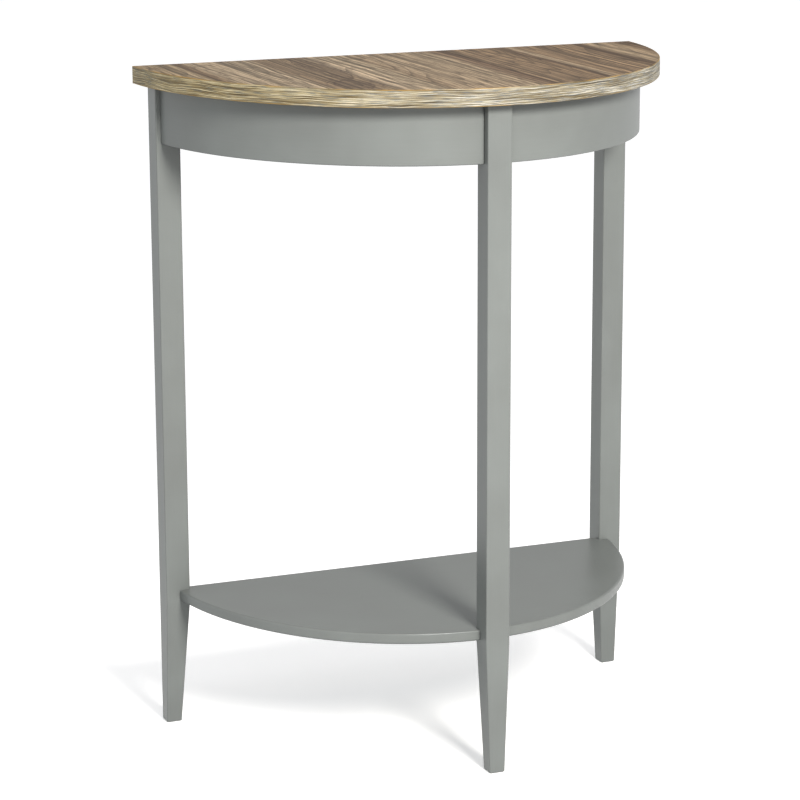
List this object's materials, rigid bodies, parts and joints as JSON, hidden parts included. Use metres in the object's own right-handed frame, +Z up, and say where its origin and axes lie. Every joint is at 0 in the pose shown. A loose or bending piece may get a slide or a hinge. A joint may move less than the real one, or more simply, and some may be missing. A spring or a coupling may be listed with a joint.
{
  "type": "demilune table",
  "caption": "Half-moon hall table for standing against a wall: a woodgrain top on curved aprons and slim tapered square legs, with a low half-moon shelf near the floor.",
  "frame": {"origin": "on the floor, under the middle of the table's overall box", "axes": "+Z up, +X along the straight back edge to the right as seen from the round side, +Y towards the wall"},
  "size_m": [0.61, 0.334, 0.762],
  "materials": {
    "woodgrain_face": "weathered oak woodgrain, matt",
    "edge_band": "limed oak woodgrain strip, satin",
    "board_core": "raw fibreboard",
    "backing_sheet": "plain balancing sheet, matt",
    "frame_paint": "satin warm grey paint on wood",
    "block_wood": "raw sawn softwood",
    "dowel_wood": "raw beech",
    "insert_brass": "turned",
    "zinc_steel": "bright zinc plate"
  },
  "bodies": {
    "root": {"top_core": "board_core", "top_face_sheet": "woodgrain_face", "top_backing_sheet": "backing_sheet", "top_front_edge_band": "edge_band", "top_back_edge_band": "edge_band", "front_leg": "frame_paint", "left_rear_leg": "frame_paint", "right_rear_leg": "frame_paint", "left_apron": "frame_paint", "right_apron": "frame_paint", "back_rail": "frame_paint", "front_corner_block": "block_wood", "left_corner_block": "block_wood", "right_corner_block": "block_wood", "shelf": "frame_paint", "apron_front_dowels": "dowel_wood", "apron_rear_dowels": "dowel_wood", "rail_dowels": "dowel_wood", "shelf_front_dowels": "dowel_wood", "leg_inserts": "insert_brass", "leg_bolts": "zinc_steel", "leg_bolt_washers": "zinc_steel", "block_screws": "zinc_steel", "rail_screws": "zinc_steel", "top_screws": "zinc_steel", "shelf_screws": "zinc_steel"}
  },
  "joints": []
}
